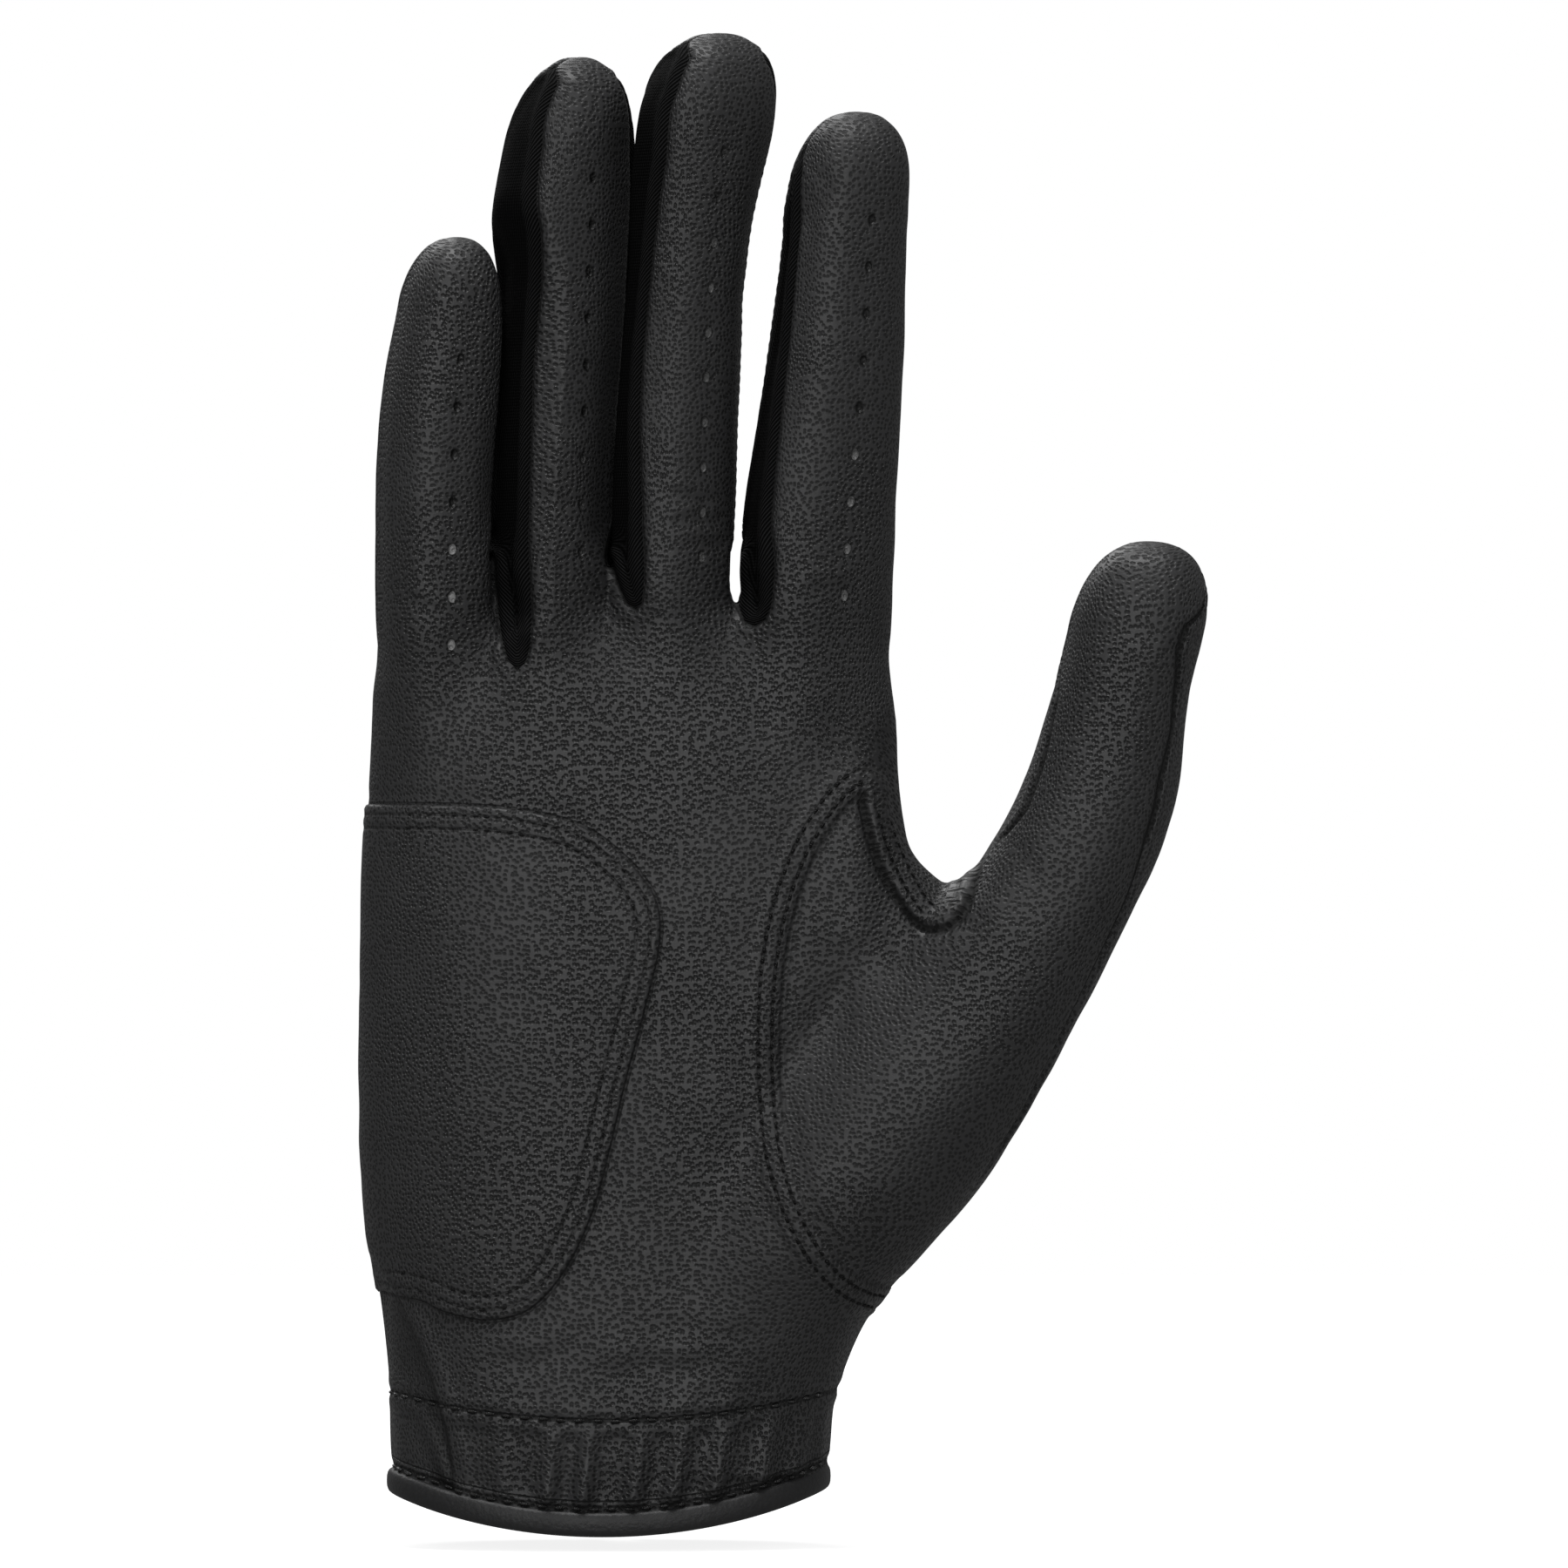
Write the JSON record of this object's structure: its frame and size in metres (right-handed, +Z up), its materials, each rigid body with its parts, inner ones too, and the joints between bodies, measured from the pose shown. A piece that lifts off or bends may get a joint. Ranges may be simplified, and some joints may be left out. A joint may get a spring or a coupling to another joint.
{
  "type": "golf glove",
  "caption": "Black right-hand golf glove, held open as worn: leather hand and fingers that bend at their creases, knitted fourchettes, heel patch and a closure tab that peels open.",
  "frame": {"origin": "centre of the wrist opening, level with the hem's sides", "axes": "+Z up the hand to the fingertips, -Y is the palm side, +X is the thumb side"},
  "size_m": [0.1262, 0.0419, 0.2236],
  "materials": {
    "leather": "pebble grain, satin",
    "fourchette_knit": "ribbed knit, matte",
    "binding": "smooth synthetic leather tape, satin",
    "elastic": "woven elastic, matte",
    "hook_tape": "moulded nylon hooks, matte",
    "loop_tape": "brushed nylon loops, matte",
    "thread": "twisted polyester thread, satin"
  },
  "bodies": {
    "hand": {"palm_leather": "leather", "thumb_root_leather": "leather", "back_leather": "leather", "cuff_band_palm": "leather", "cuff_band_back": "leather", "hem_binding": "binding", "slit_binding": "binding", "heel_patch": "leather", "cuff_elastic": "elastic", "loop_pad": "loop_tape", "tab_anchor": "leather", "heel_patch_stitching": "thread", "thumb_stitching": "thread", "cuff_stitching": "thread", "hem_stitching": "thread"},
    "closure_flap": {"closure_tab": "leather", "hook_pad": "hook_tape"},
    "thumb_base": {"thumb_base_front": "leather", "thumb_base_back": "leather"},
    "thumb_tip": {"thumb_tip_front": "leather", "thumb_tip_back": "leather"},
    "index_base": {"index_base_front": "leather", "index_base_back": "leather", "index_base_fourchette": "fourchette_knit"},
    "index_mid": {"index_mid_front": "leather", "index_mid_back": "leather", "index_mid_fourchette": "fourchette_knit"},
    "index_tip": {"index_tip_front": "leather", "index_tip_back": "leather", "index_tip_fourchette": "fourchette_knit"},
    "middle_base": {"middle_base_front": "leather", "middle_base_back": "leather", "middle_base_fourchette": "fourchette_knit"},
    "middle_mid": {"middle_mid_front": "leather", "middle_mid_back": "leather", "middle_mid_fourchette": "fourchette_knit"},
    "middle_tip": {"middle_tip_front": "leather", "middle_tip_back": "leather", "middle_tip_fourchette": "fourchette_knit"},
    "ring_base": {"ring_base_front": "leather", "ring_base_back": "leather", "ring_base_fourchette": "fourchette_knit"},
    "ring_mid": {"ring_mid_front": "leather", "ring_mid_back": "leather", "ring_mid_fourchette": "fourchette_knit"},
    "ring_tip": {"ring_tip_front": "leather", "ring_tip_back": "leather", "ring_tip_fourchette": "fourchette_knit"},
    "little_base": {"little_base_front": "leather", "little_base_back": "leather", "little_base_fourchette": "fourchette_knit"},
    "little_mid": {"little_mid_front": "leather", "little_mid_back": "leather", "little_mid_fourchette": "fourchette_knit"},
    "little_tip": {"little_tip_front": "leather", "little_tip_back": "leather", "little_tip_fourchette": "fourchette_knit"}
  },
  "joints": [
    {"name": "index_knuckle_bend", "type": "hinge", "parent": "hand", "child": "index_base", "pos_m": [0.03028, -0.01, 0.13188], "axis": [0.9976, 0, -0.0698], "range_deg": [0, 80]},
    {"name": "index_middle_bend", "type": "hinge", "parent": "index_base", "child": "index_mid", "pos_m": [0.0329, -0.01, 0.16578], "axis": [0.9976, 0, -0.0698], "range_deg": [0, 90]},
    {"name": "index_tip_bend", "type": "hinge", "parent": "index_mid", "child": "index_tip", "pos_m": [0.03456, -0.01, 0.18722], "axis": [0.9976, 0, -0.0698], "range_deg": [0, 60]},
    {"name": "middle_knuckle_bend", "type": "hinge", "parent": "hand", "child": "middle_base", "pos_m": [0.00867, -0.01, 0.1354], "axis": [0.9976, 0, -0.0698], "range_deg": [0, 80]},
    {"name": "middle_middle_bend", "type": "hinge", "parent": "middle_base", "child": "middle_mid", "pos_m": [0.01166, -0.01, 0.17329], "axis": [0.9976, 0, -0.0698], "range_deg": [0, 90]},
    {"name": "middle_tip_bend", "type": "hinge", "parent": "middle_mid", "child": "middle_tip", "pos_m": [0.01355, -0.01, 0.19721], "axis": [0.9976, 0, -0.0698], "range_deg": [0, 60]},
    {"name": "ring_knuckle_bend", "type": "hinge", "parent": "hand", "child": "ring_base", "pos_m": [-0.00956, -0.01, 0.13567], "axis": [0.9976, 0, -0.0698], "range_deg": [0, 80]},
    {"name": "ring_middle_bend", "type": "hinge", "parent": "ring_base", "child": "ring_mid", "pos_m": [-0.00715, -0.01, 0.1726], "axis": [0.9976, 0, -0.0698], "range_deg": [0, 90]},
    {"name": "ring_tip_bend", "type": "hinge", "parent": "ring_mid", "child": "ring_tip", "pos_m": [-0.00569, -0.01, 0.19505], "axis": [0.9976, 0, -0.0698], "range_deg": [0, 60]},
    {"name": "little_knuckle_bend", "type": "hinge", "parent": "hand", "child": "little_base", "pos_m": [-0.02732, -0.01, 0.12888], "axis": [0.9976, 0, -0.0698], "range_deg": [0, 80]},
    {"name": "little_middle_bend", "type": "hinge", "parent": "little_base", "child": "little_mid", "pos_m": [-0.02506, -0.01, 0.15679], "axis": [0.9976, 0, -0.0698], "range_deg": [0, 90]},
    {"name": "little_tip_bend", "type": "hinge", "parent": "little_mid", "child": "little_tip", "pos_m": [-0.0236, -0.01, 0.17473], "axis": [0.9976, 0, -0.0698], "range_deg": [0, 60]},
    {"name": "thumb_knuckle_bend", "type": "hinge", "parent": "hand", "child": "thumb_base", "pos_m": [0.0636, -0.0125, 0.085], "axis": [0.9135, 0, -0.4067], "range_deg": [0, 55]},
    {"name": "thumb_tip_bend", "type": "hinge", "parent": "thumb_base", "child": "thumb_tip", "pos_m": [0.0746, -0.0125, 0.1145], "axis": [0.9511, 0, -0.309], "range_deg": [0, 75]},
    {"name": "closure_tab_peel", "type": "hinge", "parent": "hand", "child": "closure_flap", "pos_m": [0.013, 0.0224, 0.02], "axis": [0, 0, -1], "range_deg": [0, 150]}
  ],
  "couplings": [
    {"joint": "index_tip_bend", "follows": "index_middle_bend", "ratio": 0.65},
    {"joint": "middle_tip_bend", "follows": "middle_middle_bend", "ratio": 0.65},
    {"joint": "ring_tip_bend", "follows": "ring_middle_bend", "ratio": 0.65},
    {"joint": "little_tip_bend", "follows": "little_middle_bend", "ratio": 0.65}
  ]
}
